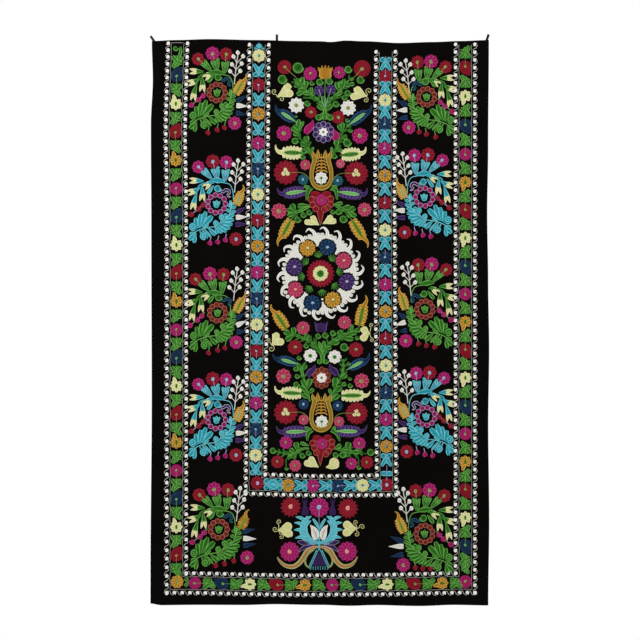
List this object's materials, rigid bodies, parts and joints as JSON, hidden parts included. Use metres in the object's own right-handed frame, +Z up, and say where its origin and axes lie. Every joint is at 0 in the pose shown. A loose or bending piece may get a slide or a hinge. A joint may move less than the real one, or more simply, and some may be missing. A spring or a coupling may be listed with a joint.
{
  "type": "suzani embroidered textile",
  "caption": "Large suzani wall hanging of embroidered velvet, hemmed all round, hanging nearly flat from narrow tape loops sewn behind its top edge.",
  "frame": {"origin": "on the cloth's top edge, at the middle of its width", "axes": "+Z up along the cloth's length, +X to the right seen from the embroidered face, which looks towards -Y"},
  "size_m": [1.4127, 0.0186, 2.3746],
  "materials": {
    "velvet": "matte",
    "cotton_tape": "matte",
    "embroidery_thread": "satin"
  },
  "bodies": {
    "root": {"velvet_cloth": "velvet", "hanging_loop_left": "cotton_tape", "hanging_loop_middle": "cotton_tape", "hanging_loop_right": "cotton_tape"}
  },
  "joints": []
}
